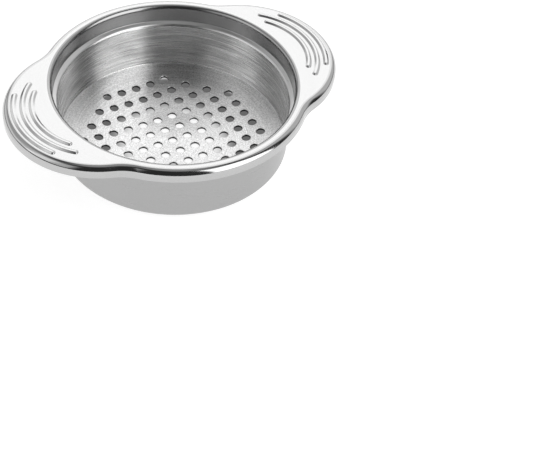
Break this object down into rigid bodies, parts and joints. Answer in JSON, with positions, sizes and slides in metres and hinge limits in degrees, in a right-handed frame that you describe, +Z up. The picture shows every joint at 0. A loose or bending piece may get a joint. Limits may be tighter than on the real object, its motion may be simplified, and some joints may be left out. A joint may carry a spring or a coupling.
{
  "type": "can strainer",
  "caption": "Pressed stainless steel can strainer: a round basin with a crowned, perforated floor, a shallow shoulder, a turned-down rim and ribbed wing grips.",
  "frame": {"origin": "under the flat in the middle of the crowned floor, on the basin's axis, at the height of the surface that it stands on", "axes": "+Z up along the basin's axis, +X along the two grips, +Y across them"},
  "size_m": [0.1184, 0.0918, 0.029],
  "materials": {
    "polished_steel": "mirror polished",
    "satin_steel": "satin, drawn marks round the wall",
    "brushed_steel": "fine turned brushing, punched holes"
  },
  "bodies": {
    "root": {"perforated_floor": "brushed_steel", "basin_wall": "satin_steel", "can_stop_shoulder": "polished_steel", "upper_collar": "polished_steel", "rim_flange": "polished_steel", "left_grip": "polished_steel", "right_grip": "polished_steel", "edge_skirt": "polished_steel"}
  },
  "joints": []
}
